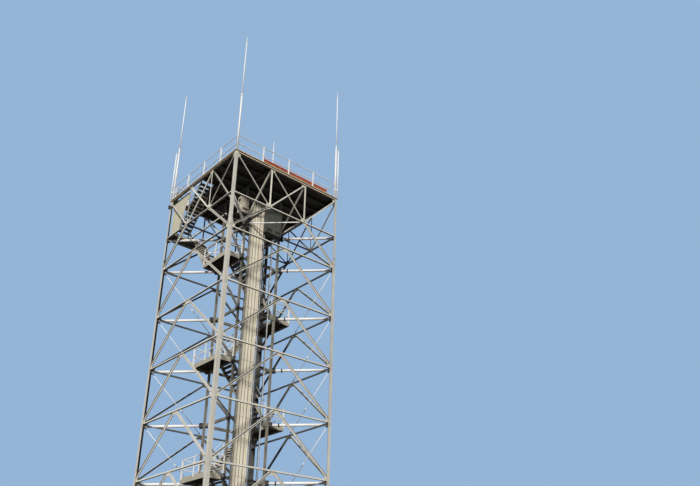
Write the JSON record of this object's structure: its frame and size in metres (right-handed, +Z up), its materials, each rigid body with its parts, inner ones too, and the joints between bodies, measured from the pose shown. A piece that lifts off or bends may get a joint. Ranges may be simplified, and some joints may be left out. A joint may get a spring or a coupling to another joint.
{
  "type": "radar tower",
  "caption": "Tall square lattice tower with angle legs, chevron bracing, a stair shaft inside and a railed deck with lightning rods on top.",
  "frame": {"origin": "centre of the tower's base, on the ground", "axes": "+Z up, front face (ducts and red kick board) looks along -Y, +X to the right of the front face"},
  "size_m": [7.935, 7.935, 35.341],
  "materials": {
    "tower_paint": "weathered satin paint",
    "stair_steel": "weathered satin paint",
    "white_paint": "satin paint",
    "red_paint": "faded paint",
    "galvanised": "dull zinc",
    "cabinet_paint": "satin paint"
  },
  "bodies": {
    "root": {"cabinets": "cabinet_paint", "cable_ducts": "galvanised", "conduits": "galvanised", "corner_flight": "stair_steel", "corner_landing": "stair_steel", "corner_ties": "white_paint", "deck_joists": "tower_paint", "deck_plate": "tower_paint", "diagonals_back": "tower_paint", "diagonals_front": "tower_paint", "diagonals_left": "tower_paint", "diagonals_right": "tower_paint", "duct_brackets": "galvanised", "edge_beams": "tower_paint", "edge_channels": "tower_paint", "equipment_base": "tower_paint", "flight_1": "stair_steel", "flight_2": "stair_steel", "flight_3": "stair_steel", "flight_4": "stair_steel", "flight_5": "stair_steel", "flight_6": "stair_steel", "flight_7": "stair_steel", "foot_plates": "tower_paint", "girts_back": "tower_paint", "girts_front": "tower_paint", "girts_left": "tower_paint", "girts_right": "tower_paint", "gussets_back": "tower_paint", "gussets_front": "tower_paint", "gussets_left": "tower_paint", "gussets_right": "tower_paint", "hatch_rails": "white_paint", "kick_board": "red_paint", "knee_braces": "tower_paint", "landing_beam": "tower_paint", "landing_rails": "white_paint", "landings": "stair_steel", "last_flight": "stair_steel", "leg_back_left": "tower_paint", "leg_back_right": "tower_paint", "leg_front_left": "tower_paint", "leg_front_right": "tower_paint", "lightning_rods": "white_paint", "plan_beams": "tower_paint", "plan_struts": "white_paint", "railings": "white_paint", "shaft_posts": "stair_steel", "shaft_ties": "stair_steel", "short_poles": "white_paint", "stair_rails": "white_paint", "stair_shield": "cabinet_paint", "truss_back": "tower_paint", "truss_front": "tower_paint", "truss_left": "tower_paint", "truss_right": "tower_paint"}
  },
  "joints": []
}
